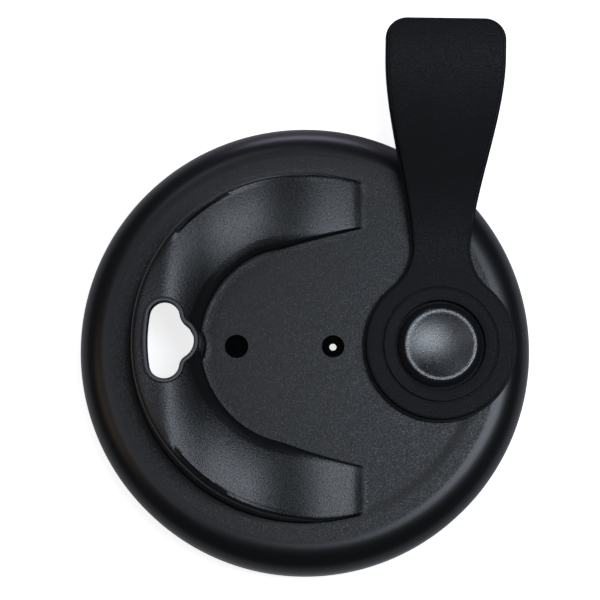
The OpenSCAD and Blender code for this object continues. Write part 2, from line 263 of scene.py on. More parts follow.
class Shell:
    """Heights and sections of the lid, above the skirt's bottom, in millimetres."""

    wall_steps = 6
    top_steps = 26
    # Rows of the mesh: shares of the way from the axis to the crescent, and radii on the border.
    deck_rows = np.linspace(0.06, 0.94, 13)
    under_rows = np.linspace(0.92, 0.1, 8)
    border_rows = (37.9, 38.5, 39.4, 40.4, 41.2)
    # A wall's width in plan is its foot plus its lean times its height. The outer wall gets steeper
    # where it is high. On a low wall each fillet takes a share of the height, and under flat_h there
    # is none.
    inner_foot, inner_lean = 0.6, 0.19
    outer_foot, outer_lean = 0.7, 0.32
    high_foot, high_lean = 1.6, 0.1
    flat_h, root_share, brow_share = 0.02, 0.3, 0.4
    # The top's swing fades in from swing_start on and out before the tips. It is lowest at swing_low.
    swing_start, fade_in, fade_out, swing_low = -32, 6, 2.5, 2
    # The boss round the lobe: degrees to either side, depth of its cone below the deck, and the width
    # and height of its fillet.
    boss_reach, boss_sunk, fillet_w, fillet_h = 20, 0.5, 0.35, 0.5
    # Small edges: the grip's, a recess's corner and lead-in, and how far a cutter goes on out and up.
    grip_edge, corner, lead, over_r, over_z = 0.15, 0.1, 0.14, 0.5, 0.4
    # Play round the spigot, how far the lip's foot keeps off the hollow, and the drink cutter's height.
    spigot_gap, foot_gap, cutter_h = 0.05, 0.05, 20

    def __init__(self, sizes):
        self.s, self.m, self.h = sizes["shell"], sizes["mouth"], sizes["hole"]
        s = self.s
        self.lid_r = s.lid_d / 2
        self.deck_z = s.border_z - s.deck_drop
        self.deck_under = self.deck_z - s.deck_wall
        self.recess_z = self.deck_z - s.recess_h
        self.grip_r = self.lid_r - s.skirt_wall
        self.shoulder_z = s.border_z - s.shoulder_r
        lean = math.tan(math.radians(s.skirt_draft))
        self.shoulder_x = self.lid_r - (self.shoulder_z - s.foot_r) * lean - s.shoulder_r

    def skin(self, r):
        """Height of deck and border at a radius."""
        s = self.s
        return self.deck_z + s.deck_drop * ease((r - s.deck_r) / (s.rise_r - s.deck_r))

    def ramp(self, x):
        """Share of the crescent's full height at x."""
        m = self.m
        u = (max(x, m.peak_x) - m.peak_x) / (m.end_x - m.peak_x)
        return 1 - u * u / (m.bend * (2 - m.bend)) if u < m.bend else max(0.0, 2 * (1 - u) / (2 - m.bend))

    def swing(self, x):
        """Height of the arms' top over the straight ramp, which is steepest halfway down."""
        m = self.m
        window = ease((x - self.swing_start) / self.fade_in) * ease((m.end_x - x) / self.fade_out)
        return -m.swing * window * math.cos(math.tau * (x - self.swing_low) / m.swing_len)

    def share(self, x):
        """Share of the full height at x, with the swing."""
        return self.ramp(x) + self.swing(x) / self.m.height

    def inner_r(self, a):
        """Inner base radius at an angle: a circle, then a straight line that touches it, up to the tip."""
        m = self.m
        a = max(a, self.tips()[0])
        return m.in_r / math.cos(math.radians(m.leave - a)) if a < m.leave else m.in_r

    def tips(self):
        """Angles of the inner and the outer tip."""
        m = self.m
        slope = math.tan(math.radians(m.leave - 90))
        start = m.in_r / math.cos(math.radians(m.leave - 90))
        inner = math.degrees(math.atan2(start + slope * m.end_x, m.end_x))
        return inner, math.degrees(math.acos(m.end_x / m.out_r))

    def wall_line(self, h, w, root, brow_r, lean=0.0):
        """Foot and top of a wall that climbs h within the width w, with a fillet at each end. The
        upper one starts at the lean of the top that it meets."""
        if h < self.flat_h:
            k = np.linspace(0, 1, 2 * self.wall_steps)
            return np.c_[w * k, h * k]
        b, t = min(root, self.root_share * h), min(brow_r, self.brow_share * h)
        d = math.hypot(w, h - b - t)
        a = math.atan2(h - b - t, w) + math.asin(min(0.99, (b + t) / d))
        k = np.linspace(0, a, self.wall_steps)
        foot = np.c_[b * np.sin(k), b * (1 - np.cos(k))]
        k = np.linspace(min(lean, 0.8 * a), a, self.wall_steps)
        brow = np.c_[w - t * np.sin(k), h - t * (1 - np.cos(k))][::-1]
        return np.vstack([foot, brow])

    def widths(self, h_in, h_out):
        """Widths in plan of an inner and an outer wall of these heights."""
        low = self.outer_foot + self.outer_lean * max(0, h_out)
        high = self.high_foot + self.high_lean * h_out
        return self.inner_foot + self.inner_lean * max(0, h_in), min(low, high)

    def section(self, a_in, a_out, side, inset, raised=True):
        """The crescent's section between two base points, as points (x, y, height above the deck)."""
        m = self.m
        p_in, p_out = self.inner_r(a_in) * spoke(a_in, side), m.out_r * spoke(a_out, side)
        way = (p_out - p_in) / np.linalg.norm(p_out - p_in)
        q_in, q_out = p_in + way * inset, p_out - way * inset
        span = np.linalg.norm(q_out - q_in)
        share = self.share if raised else (lambda x: 0.0)
        full = share((q_in[0] + q_out[0]) / 2)
        h_in = share(q_in[0]) * m.height - full * m.tilt
        h_out = share(q_out[0]) * m.height + full * m.tilt
        w_in, w_out = self.widths(h_in, h_out)
        lean = math.atan(2 * full * (2 * m.crown + m.tilt) / max(1.0, span - w_in - w_out))
        inner = self.wall_line(h_in, w_in, m.root_in, m.brow_in, lean)
        outer = self.wall_line(h_out, w_out, m.root_r, m.brow_r)
        rise = [(*(q_in + way * k[0]), k[1]) for k in inner]
        fall = [(*(q_out - way * k[0]), k[1]) for k in outer[::-1]]
        top = []
        for i in range(1, self.top_steps):
            t = 2 * i / self.top_steps - 1
            p = q_in + way * (w_in + (span - w_in - w_out) * i / self.top_steps)
            top.append((*p, share(p[0]) * m.height + full * (m.crown * (1 - t * t) + m.tilt * t)))
        return np.array(rise + top + fall)

    def column(self, a_in, a_out, side, raised):
        """One column of the lid's mesh, from the deck's middle over the top, down and back inside."""
        s, m = self.s, self.m
        crest = self.section(a_in, a_out, side, 0, raised)
        crest[:, 2] = np.maximum(crest[:, 2] + self.deck_z, self.skin(np.hypot(crest[:, 0], crest[:, 1])))
        if raised and 180 - a_in < self.boss_reach:
            self.add_boss(crest, side * a_in)
        start = crest[0, :2]
        deck = [(*(start * f), self.deck_z) for f in self.deck_rows]
        u, bow = spoke(a_out, side), self.deck_under - s.grip_h
        rim = np.vstack([
            [(r, self.skin(r)) for r in self.border_rows],
            arc((self.shoulder_x, self.shoulder_z), s.shoulder_r, 90, s.skirt_draft, 20),
            arc((self.lid_r - s.foot_r, s.foot_r), s.foot_r, s.skirt_draft, -90, 8),
            [(self.grip_r + self.grip_edge, 0), (self.grip_r, self.grip_edge), (self.grip_r, s.grip_h)],
            arc((self.grip_r - bow, s.grip_h), bow, 0, 90, 10)[1:],
        ])
        rim = [(*(u * r), z) for r, z in rim]
        hollow = self.section(a_in, a_out, side, m.wall, raised)[::-1]
        hollow[:, 2] = np.maximum(hollow[:, 2] + self.deck_z - m.top, self.deck_under)
        under = [(*(hollow[-1, :2] * f), self.deck_under) for f in self.under_rows]
        return np.vstack([deck, crest, rim, hollow, under])

    def add_boss(self, crest, a):
        """Pushes the inner wall out to the round boss that carries the hole's lobe."""
        h = self.h
        off = math.radians(a - math.copysign(180, a))
        for i in range(2 * self.wall_steps):
            z = crest[i, 2] - self.deck_z
            share = (z + self.boss_sunk) / (2 * self.m.height)
            radius = h.lobe_r + h.lip_w + h.boss_flare - (h.boss_flare + h.lip_w / 2) * share
            radius += self.fillet_w * max(0, 1 - z / self.fillet_h) ** 2
            reach = radius ** 2 - (h.lobe_x * math.sin(off)) ** 2
            if reach <= 0:
                continue
            near = -h.lobe_x * math.cos(off) - math.sqrt(reach)
            r = math.hypot(crest[i, 0], crest[i, 1])
            if near < r:
                crest[i, :2] *= near / r

    def columns(self):
        """All columns round the lid, counter-clockwise from +X, and closer together at the drink hole."""
        tip_in, tip_out = self.tips()
        n = self.s.columns
        flat = [(tip_in * f, tip_out * f) for f in np.linspace(0, 1, n // 2 + 1)[:-1]]
        u = np.linspace(0, 1, n + 1)
        v = u + 0.5 * u * (1 - u)
        curved = [(tip_in + (180 - tip_in) * k, tip_out + (180 - tip_out) * k) for k in v]
        half = [(a, b, 1, False) for a, b in flat] + [(a, b, 1, True) for a, b in curved]
        other = [(a, b, -1, raised) for a, b, _, raised in half[-2:0:-1]]
        return np.array([self.column(*c) for c in half + other])

    def ceiling(self, x, y):
        """Height of the hollow's ceiling under a point of the crescent."""
        a = math.degrees(math.atan2(abs(y), x))
        line = self.section(a, a, 1, self.m.wall)
        z = np.interp(math.hypot(x, y), np.hypot(line[:, 0], line[:, 1]), line[:, 2])
        return max(self.deck_under, self.deck_z - self.m.top + float(z)) + self.foot_gap

    def lip_plane(self, x):
        """Height of the lip's sloping top at x."""
        m, h = self.m, self.h
        return self.deck_z + m.height + h.lip_h + math.tan(math.radians(h.lip_slope)) * (m.peak_x - x)

    def recess(self, radius):
        """Profile of a round recess's cutter, from the side of the floor to the axis above the deck."""
        floor, deck, top = self.recess_z, self.deck_z, self.deck_z + self.over_z
        return [(radius - self.corner, floor), (radius, floor + self.corner), (radius, deck - self.lead),
                (radius + self.lead, deck), (radius + self.over_r, top), (0, top)]


# Meshes

@contextmanager
def edited(mesh):
    """A mesh opened for editing, and written back afterwards."""
    bm = bmesh.new()
    bm.from_mesh(mesh)
    yield bm
    bm.to_mesh(mesh)
    bm.free()


def link(name, data):
    """An object of a mesh, a lamp or a camera, in the scene's collection."""
    made = bpy.data.objects.new(name, data)
    bpy.context.scene.collection.objects.link(made)
    return made


def mesh_object(name, points, faces):
    """An object at the origin from points in millimetres, with its normals outwards."""
    mesh = bpy.data.meshes.new(name)
    mesh.from_pydata([tuple(p) for p in np.asarray(points) * MM], [], faces)
    with edited(mesh) as bm:
        bmesh.ops.remove_doubles(bm, verts=bm.verts, dist=1e-7)
        bmesh.ops.dissolve_degenerate(bm, edges=bm.edges, dist=1e-8)
        bmesh.ops.recalc_face_normals(bm, faces=bm.faces)
    return link(name, mesh)


def bands(rows):
    """Quads between each closed row of vertex numbers and the next."""
    n = len(rows[0])
    return [(a[i], a[(i + 1) % n], b[(i + 1) % n], b[i]) for a, b in zip(rows, rows[1:]) for i in range(n)]


def rows_of(loops, start=0):
    """Vertex numbers of equal loops that follow one another."""
    n = len(loops[0])
    return [[start + i * n + j for j in range(n)] for i in range(len(loops))]


def plain_mesh(made):
    """Turns an object with modifiers into a plain mesh."""
    graph = bpy.context.evaluated_depsgraph_get()
    mesh = bpy.data.meshes.new_from_object(made.evaluated_get(graph))
    made.modifiers.clear()
    made.data = mesh


def cut(made, cutters):
    """Subtracts closed pieces from an object and removes them."""
    for c in cutters:
        mod = made.modifiers.new(c.name, "BOOLEAN")
        mod.operation, mod.solver, mod.object = "DIFFERENCE", "EXACT", c
    bpy.context.view_layer.update()
    plain_mesh(made)
    for c in cutters:
        bpy.data.objects.remove(c)


def join(made, others):
    """Adds other objects' meshes to an object's mesh."""
    with edited(made.data) as bm:
        for o in others:
            bm.from_mesh(o.data)
            bpy.data.objects.remove(o)


def smooth(made, degrees):
    """Smooth shading with sharp edges kept over an angle."""
    made.data.polygons.foreach_set("use_smooth", [True] * len(made.data.polygons))
    made.data.set_sharp_from_angle(angle=math.radians(degrees))


def finish_piece(made, material, body, node):
    """Gives a piece its material and its place in the frame."""
    made.data.materials.clear()
    made.data.materials.append(material)
    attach(made, body)
    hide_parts(node)


def turning_tree():
    """Geometry nodes that turn a profile, given as a row of points (radius, height), into a solid."""
    tree = bpy.data.node_groups.get("Turned profile")
    if tree:
        return tree
    tree = bpy.data.node_groups.new("Turned profile", "GeometryNodeTree")
    face = tree.interface
    face.new_socket("Profile", in_out="INPUT", socket_type="NodeSocketGeometry")
    for name in ("Points", "Steps"):
        face.new_socket(name, in_out="INPUT", socket_type="NodeSocketInt")
    face.new_socket("Material", in_out="INPUT", socket_type="NodeSocketMaterial")
    face.new_socket("Solid", in_out="OUTPUT", socket_type="NodeSocketGeometry")
    given = add(tree, "NodeGroupInput")
    rows = add(tree, "ShaderNodeMath", {0: given.outputs["Steps"], 1: 1.0}, operation="ADD")
    grid = add(tree, "GeometryNodeMeshGrid", {"Size X": 1.0, "Vertices X": given.outputs["Points"],
                                              "Size Y": 1.0, "Vertices Y": rows})
    place = add(tree, "ShaderNodeSeparateXYZ", {0: grid.outputs["UV Map"]})
    last = add(tree, "ShaderNodeMath", {0: given.outputs["Points"], 1: 1.0}, operation="SUBTRACT")
    along = add(tree, "ShaderNodeMath", {0: place.outputs["X"], 1: last}, operation="MULTIPLY")
    number = add(tree, "FunctionNodeFloatToInt", {0: along}, rounding_mode="ROUND")
    where = add(tree, "GeometryNodeInputPosition")
    sample = add(tree, "GeometryNodeSampleIndex", {"Geometry": given.outputs["Profile"], "Index": number},
                 data_type="FLOAT_VECTOR", domain="POINT")
    tree.links.new(where.outputs[0], next(i for i in sample.inputs if i.name == "Value" and i.enabled))
    spot = add(tree, "ShaderNodeSeparateXYZ", {0: sample})
    turn = add(tree, "ShaderNodeMath", {0: place.outputs["Y"], 1: math.tau}, operation="MULTIPLY")
    parts = [add(tree, "ShaderNodeMath", {0: turn}, operation=part) for part in ("COSINE", "SINE")]
    x, y = (add(tree, "ShaderNodeMath", {0: spot.outputs["X"], 1: part}, operation="MULTIPLY")
            for part in parts)
    point = add(tree, "ShaderNodeCombineXYZ", {0: x, 1: y, 2: spot.outputs["Z"]})
    moved = add(tree, "GeometryNodeSetPosition", {"Geometry": grid.outputs["Mesh"], "Position": point})
    merged = add(tree, "GeometryNodeMergeByDistance", {"Geometry": moved, "Distance": 1e-6})
    real = add(tree, "GeometryNodeRealizeInstances", {"Geometry": merged})
    named = add(tree, "GeometryNodeSetMaterial", {"Geometry": real, "Material": given.outputs["Material"]})
    add(tree, "NodeGroupOutput", {"Solid": named})
    return tree


def turned(name, profile, steps, x=0.0, material=None):
    """A solid turned from a profile of (radius, height) that starts and ends on the axis."""
    mesh = bpy.data.meshes.new(name)
    edges = [(i, i + 1) for i in range(len(profile) - 1)]
    mesh.from_pydata([(r * MM, 0, z * MM) for r, z in profile], edges, [])
    made = link(name, mesh)
    mod = made.modifiers.new("Turn", "NODES")
    mod.node_group = turning_tree()
    ids = {i.name: i.identifier for i in mod.node_group.interface.items_tree if i.in_out == "INPUT"}
    mod[ids["Points"]], mod[ids["Steps"]] = len(profile), steps
    if material:
        mod[ids["Material"]] = material
    bpy.context.view_layer.update()
    plain_mesh(made)
    with edited(made.data) as bm:
        bmesh.ops.dissolve_degenerate(bm, edges=bm.edges, dist=1e-8)
        bmesh.ops.translate(bm, verts=bm.verts, vec=(x * MM, 0, 0))
        bmesh.ops.recalc_face_normals(bm, faces=bm.faces)
    return made


def prism(name, outline, low, high):
    """A closed upright prism on an outline."""
    points = [(*p, low) for p in outline] + [(*p, high) for p in outline]
    lower, upper = rows_of([outline, outline])
    return mesh_object(name, points, bands([lower, upper]) + [lower[::-1], upper])


def inside(points, outline):
    """Whether each point lies inside a closed outline."""
    x, y = points[:, 0], points[:, 1]
    hit = np.zeros(len(points), bool)
    for a, b in zip(outline, np.roll(outline, -1, axis=0)):
        crosses = (a[1] > y) != (b[1] > y)
        with np.errstate(divide="ignore", invalid="ignore"):
            hit ^= crosses & (x < (b[0] - a[0]) * (y - a[1]) / (b[1] - a[1]) + a[0])
    return hit


def fill(outline, hole, pitch):
    """Triangles between an outline and a round hole. Returns the inner points and the faces,
    whose vertex numbers count the outline first, then the hole, then the inner points."""
    low, high = outline.min(0), outline.max(0)
    xs, ys = np.arange(low[0], high[0], pitch), np.arange(low[1], high[1], pitch)
    grid = np.array([(x + (0.5 * pitch if j % 2 else 0), y) for j, y in enumerate(ys) for x in xs])
    grid = grid[inside(grid, outline)]
    edge = np.vstack([outline, hole])
    gap = np.array([np.min(np.hypot(*(edge - g).T)) for g in grid])
    grid = grid[(gap > 0.6 * pitch) & ~inside(grid, hole)]
    points = np.vstack([edge, grid])
    n, m = len(outline), len(hole)
    rims = [(i, (i + 1) % n) for i in range(n)] + [(n + i, n + (i + 1) % m) for i in range(m)]
    out = delaunay_2d_cdt([tuple(p) for p in points], rims, [], 0, 1e-7)
    source = [o[0] for o in out[3]]
    faces = [[source[v] for v in f] for f in out[2]]
    middle = np.array([points[f].mean(0) for f in faces])
    keep = inside(middle, outline) & ~inside(middle, hole)
    return grid, [f for f, k in zip(faces, keep) if k]


# Materials

def feed(tree, node, values):
    """Gives a node's inputs their values and links. A node stands for its first output."""
    for key, value in values.items():
        if isinstance(value, bpy.types.Node):
            value = value.outputs[0]
        if isinstance(value, bpy.types.NodeSocket):
            tree.links.new(value, node.inputs[key])
        else:
            node.inputs[key].default_value = value


def add(tree, kind, values=None, **settings):
    """Adds a node with its settings, input values and links."""
    node = tree.nodes.new(kind)
    for key, value in settings.items():
        setattr(node, key, value)
    feed(tree, node, values or {})
    return node


def new_material(name):
    """An empty node material, its tree, shader and object coordinates."""
    material = bpy.data.materials.new(name)
    material.use_nodes = True
    tree = material.node_tree
    tree.nodes.clear()
    shader = add(tree, "ShaderNodeBsdfPrincipled")
    add(tree, "ShaderNodeOutputMaterial", {"Surface": shader})
    coords = add(tree, "ShaderNodeTexCoord")
    return material, tree, shader, coords


def axis_distance(tree, coords):
    """Distance from the lid's axis in metres."""
    place = coords.outputs["Object"]
    flat = add(tree, "ShaderNodeVectorMath", {0: place, 1: (1, 1, 0)}, operation="MULTIPLY")
    return add(tree, "ShaderNodeVectorMath", {0: flat}, operation="LENGTH").outputs["Value"]


def flat_top_mask(tree, coords, radius):
    """1 on faces that look up and lie inside a radius in metres round the lid's axis, else 0."""
    steep, flat, fade = 0.8, 0.87, 0.6 * MM
    normal = add(tree, "ShaderNodeSeparateXYZ", {0: coords.outputs["Normal"]})
    up = add(tree, "ShaderNodeMapRange", {"Value": normal.outputs["Z"], "From Min": steep, "From Max": flat})
    near = add(tree, "ShaderNodeMapRange", {"Value": axis_distance(tree, coords), "From Min": radius,
                                            "From Max": radius - fade})
    return add(tree, "ShaderNodeMath", {0: up, 1: near}, operation="MULTIPLY")


def recess_mask(tree, coords, height, radius):
    """1 below a height in metres and inside a radius round the lid's axis, else 0."""
    fade = 0.4 * MM
    place = add(tree, "ShaderNodeSeparateXYZ", {0: coords.outputs["Object"]})
    below = add(tree, "ShaderNodeMapRange", {"Value": place.outputs["Z"], "From Min": height,
                                             "From Max": height - fade})
    near = add(tree, "ShaderNodeMath", {0: axis_distance(tree, coords), 1: radius}, operation="LESS_THAN")
    return add(tree, "ShaderNodeMath", {0: below, 1: near}, operation="MULTIPLY")


def smooth_mouthpiece(material, height, share, least):
    """The mouthpiece's top comes from a finer part of the tool, so its highlights are brighter: its
    roughness falls to a share, and no lower than the least."""
    fade = 0.3 * MM
    tree = material.node_tree
    shader, coords = tree.nodes["Principled BSDF"], tree.nodes["Texture Coordinate"]
    place = add(tree, "ShaderNodeSeparateXYZ", {0: coords.outputs["Object"]})
    above = add(tree, "ShaderNodeMapRange", {"Value": place.outputs["Z"], "From Min": height,
                                             "From Max": height + fade, "To Min": 1.0, "To Max": share})
    old = shader.inputs["Roughness"].links[0].from_socket
    fine = add(tree, "ShaderNodeMath", {0: old, 1: above}, operation="MULTIPLY")
    floor = add(tree, "ShaderNodeMath", {0: fine, 1: least}, operation="MAXIMUM")
    feed(tree, shader, {"Roughness": floor})


def roughen_and_shade_recesses(material, height, radius):
    """The recesses' floors are left rough by the tool's pins, so their roughness goes up to 0.9. They also
    carry painted shade: their colour is darkened to a fifth and their reflection to 0.15, until they read as
    black as on the object."""
    tree = material.node_tree
    shader, coords = tree.nodes["Principled BSDF"], tree.nodes["Texture Coordinate"]
    mask = recess_mask(tree, coords, height, radius)
    rough, tint = (shader.inputs[n].links[0].from_socket for n in ("Roughness", "Base Color"))
    dull = add(tree, "ShaderNodeMix", {"Factor": mask, "A": rough, "B": 0.9}, data_type="FLOAT")
    # Painted shade: in the recesses the colour falls to a fifth, and the reflection falls to 0.15 through
    # the specular tint.
    dim = add(tree, "ShaderNodeMapRange", {"Value": mask, "To Min": 1.0, "To Max": 0.2})
    dark = add(tree, "ShaderNodeVectorMath", {0: tint, "Scale": dim}, operation="SCALE")
    sunk = add(tree, "ShaderNodeMapRange", {"Value": mask, "To Min": 1.0, "To Max": 0.15})
    feed(tree, shader, {"Base Color": dark, "Roughness": dull, "Specular Tint": sunk})


def polypropylene_moulded(colour_value, name, grain_mm, grain_r, rough_plain, rough_grain, gloss, pit,
                          ior=1.49):
    """Black polypropylene, injection moulded in a tool with spark-eroded flat faces and polished
    walls: the flat faces sparkle finely and read grey, the walls and rounds stay darker with soft
    highlights. The real grain is too fine to show, so it is drawn coarser, grain_mm wide, out to
    the radius grain_r in metres. Roughness, gloss and pit are matched to the object."""
    material, tree, shader, coords = new_material(name)
    mask = flat_top_mask(tree, coords, grain_r)
    pits = add(tree, "ShaderNodeTexNoise", {"Vector": coords.outputs["Object"], "Scale": 1 / (grain_mm * MM),
                                            "Detail": 3.0, "Roughness": 0.65})
    # Handling leaves the black a little uneven over some 14 mm.
    drift = add(tree, "ShaderNodeTexNoise", {"Vector": coords.outputs["Object"], "Scale": 1 / (14 * MM),
                                             "Detail": 3.0})
    height = add(tree, "ShaderNodeMath", {0: pits.outputs["Fac"], 1: mask}, operation="MULTIPLY")
    bump = add(tree, "ShaderNodeBump", {"Height": height, "Strength": pit, "Distance": 0.12 * MM})
    lift = add(tree, "ShaderNodeMapRange", {"Value": pits.outputs["Fac"], "From Min": 0.35, "From Max": 0.7,
                                            "To Min": 0.75, "To Max": 1.55})
    lifted = add(tree, "ShaderNodeMix", {"Factor": mask, "A": 1.0, "B": lift}, data_type="FLOAT")
    worn = add(tree, "ShaderNodeMapRange", {"Value": drift.outputs["Fac"], "From Min": 0.3, "From Max": 0.7,
                                            "To Min": 0.92, "To Max": 1.08})
    gain = add(tree, "ShaderNodeMath", {0: lifted, 1: worn}, operation="MULTIPLY")
    tint = add(tree, "ShaderNodeVectorMath", {0: tuple(colour_value[:3]), "Scale": gain},
               operation="SCALE")
    rough = rough_plain
    if rough_grain != rough_plain:
        # The grain's facets catch the light unevenly, so their roughness spreads by 40 % either way.
        glint = add(tree, "ShaderNodeMapRange", {"Value": pits.outputs["Fac"], "From Min": 0.35,
                                                 "From Max": 0.65, "To Min": 0.6 * rough_grain,
                                                 "To Max": 1.4 * rough_grain})
        rough = add(tree, "ShaderNodeMix", {"Factor": mask, "A": rough_plain, "B": glint}, data_type="FLOAT")
    feed(tree, shader, {"Base Color": tint, "Roughness": rough, "Normal": bump, "IOR": ior,
                        "Specular IOR Level": gloss})
    return material


def elastomer_moulded(look):
    """Black thermoplastic elastomer, moulded in a blasted tool: dull and even, with a very fine
    tooth, and soft enough to hold a few specks of dust. The real tooth is too fine to show, so it
    is drawn coarser, 0.3 mm wide. The low gloss is matched to the object."""
    material, tree, shader, coords = new_material("Elastomer, moulded matt")
    tooth = add(tree, "ShaderNodeTexNoise", {"Vector": coords.outputs["Object"], "Scale": 1 / (0.3 * MM),
                                             "Detail": 3.0})
    drift = add(tree, "ShaderNodeTexNoise", {"Vector": coords.outputs["Object"], "Scale": 1 / (9 * MM),
                                             "Detail": 4.0})
    # One cell of 4.2 mm in ten holds a speck, some 0.3 mm wide.
    dust = add(tree, "ShaderNodeTexVoronoi", {"Vector": coords.outputs["Object"], "Scale": 1 / (4.2 * MM),
                                              "Randomness": 1.0}, feature="F1")
    chosen = add(tree, "ShaderNodeSeparateColor", {"Color": dust.outputs["Color"]})
    few = add(tree, "ShaderNodeMath", {0: chosen, 1: 0.9}, operation="GREATER_THAN")
    speck = add(tree, "ShaderNodeMapRange", {"Value": dust.outputs["Distance"], "From Min": 0.045,
                                             "From Max": 0.025})
    specks = add(tree, "ShaderNodeMath", {0: few, 1: speck}, operation="MULTIPLY")
    half = add(tree, "ShaderNodeMath", {0: specks, 1: 0.6}, operation="MULTIPLY")
    gain = add(tree, "ShaderNodeMapRange", {"Value": drift.outputs["Fac"], "From Min": 0.3, "From Max": 0.7,
                                            "To Min": 0.9, "To Max": 1.15})
    tint = add(tree, "ShaderNodeVectorMath", {0: tuple(look.strap_colour[:3]), "Scale": gain},
               operation="SCALE")
    # The Mix node's colours A and B are its inputs 6 and 7, and the mixed one its output 2.
    mixed = add(tree, "ShaderNodeMix", {0: half, 6: tint, 7: look.dust_colour}, data_type="RGBA")
    bump = add(tree, "ShaderNodeBump", {"Height": tooth.outputs["Fac"], "Strength": 0.8,
                                        "Distance": 0.1 * MM})
    glint = add(tree, "ShaderNodeMapRange", {"Value": tooth.outputs["Fac"], "From Min": 0.35,
                                             "From Max": 0.65, "To Min": 0.4, "To Max": 0.66})
    feed(tree, shader, {"Base Color": mixed.outputs[2], "Roughness": glint, "Normal": bump, "IOR": 1.46,
                        "Specular IOR Level": 0.14})
    return material


def pale_floor(look):
    """Matt pale paper, whose fibres leave it all but even. To the camera it is lifted to white, and
    it keeps the object's shadow."""
    material, tree, shader, coords = new_material("Paper sweep, matt")
    fibre = add(tree, "ShaderNodeTexNoise", {"Vector": coords.outputs["Object"], "Scale": 1 / (2 * MM),
                                             "Detail": 2.0})
    gain = add(tree, "ShaderNodeMapRange", {"Value": fibre.outputs["Fac"], "To Min": 0.99, "To Max": 1.01})
    tint = add(tree, "ShaderNodeVectorMath", {0: tuple(look.floor_colour[:3]), "Scale": gain},
               operation="SCALE")
    rays = add(tree, "ShaderNodeLightPath")
    seen = add(tree, "ShaderNodeMath", {0: rays.outputs["Is Camera Ray"], 1: 0.8}, operation="MULTIPLY")
    feed(tree, shader, {"Base Color": tint, "Roughness": 0.9, "Emission Color": (1, 1, 1, 1),
                        "Emission Strength": seen})
    return material


# Operators

def all_sizes():
    """The property groups of the scene as plain sizes."""
    scene = bpy.context.scene
    names = ("shell", "mouth", "hole", "stud", "strap")
    return {n: Sizes(getattr(scene, "cup_lid_" + n)) for n in names}


class CUPLID_OT_lid(bpy.types.Operator):
    """Makes the lid: shell, crescent mouthpiece, lip, drink hole, vent and gate mark"""
    bl_idname = "cup_lid.lid"
    bl_label = "Make lid"

    def execute(self, context):
        sizes = all_sizes()
        s, h, stud = sizes["shell"], sizes["hole"], sizes["stud"]
        shell = Shell(sizes)
        columns = shell.columns()
        count, rows = columns.shape[:2]
        points = list(columns.reshape(-1, 3)) + [(0, 0, shell.deck_z), (0, 0, shell.deck_under)]
        loops = np.arange(count * rows).reshape(count, rows).T.tolist()
        faces = bands(loops)
        for loop, middle in ((loops[0], count * rows), (loops[-1], count * rows + 1)):
            faces += [(loop[i], loop[(i + 1) % count], middle) for i in range(count)]
        lid = mesh_object("Lid", points, faces)
        low, floor, top = shell.deck_under - 1, shell.recess_z, shell.deck_z + shell.over_z
        nub_z, spigot_r = floor + s.nub_h, stud.spigot_r + shell.spigot_gap
        vent = [(0, low), (s.vent_hole_r, low), (s.vent_hole_r, floor), *shell.recess(s.vent_r)]
        gate = [(0, nub_z), (s.nub_r - shell.corner, nub_z), (s.nub_r, nub_z - shell.corner),
                (s.nub_r, floor), *shell.recess(s.gate_r)]
        spigot = [(0, low), (spigot_r, low), (spigot_r, top), (0, top)]
        cut(lid, [
            prism("Drink cut", hole_outline(h, 0.5 * h.lip_w), low, shell.deck_z + shell.cutter_h),
            turned("Vent cut", vent, 64, s.vent_x),
            turned("Gate cut", gate, 64, s.gate_x),
            turned("Spigot cut", spigot, 64, stud.x),
        ])
        lip = self.lip(shell)
        lip_faces = len(lip.data.polygons)
        join(lid, [lip])
        smooth(lid, 38)
        look = context.scene.cup_lid_look
        material = polypropylene_moulded(
            look.lid_colour, "Polypropylene, moulded, spark-eroded faces", grain_mm=0.3,
            grain_r=s.grain_r * MM, rough_plain=0.32, rough_grain=0.43, gloss=0.35, pit=0.45)
        smooth_mouthpiece(material, height=(s.border_z + 0.05) * MM, share=0.56, least=0.26)
        # Painted shade darkens the colour and the reflection of the recess floors.
        roughen_and_shade_recesses(material, height=(shell.deck_z - 0.2) * MM, radius=s.deck_r * MM)
        finish_piece(lid, material, "lid", "lid")
        lid.data.materials.append(polypropylene_moulded(
            look.lid_colour, "Polypropylene, moulded, polished lip", grain_mm=0.34, grain_r=0.0,
            rough_plain=0.42, rough_grain=0.42, gloss=0.4, pit=0.55))
        for face in lid.data.polygons[len(lid.data.polygons) - lip_faces:]:
            face.material_index = 1
        return {"FINISHED"}

    def lip(self, shell):
        """The raised lip as a ring whose top slopes up towards the rim."""
        h = shell.h
        e, w = h.lip_round, h.lip_w
        mid = 0.3 * e  # halfway round an edge
        rings = [(0, None), (0, e), (mid, mid), (e, 0), (w - e, 0), (w - mid, mid), (w, e), (w, None)]
        loops = []
        for grow, drop in rings:
            outline = hole_outline(h, grow)
            loops.append([(x, y, shell.ceiling(x, y) if drop is None else shell.lip_plane(x) - drop)
                          for x, y in outline])
        rows = rows_of(loops)
        return mesh_object("Lip", [p for loop in loops for p in loop], bands(rows + rows[:1]))


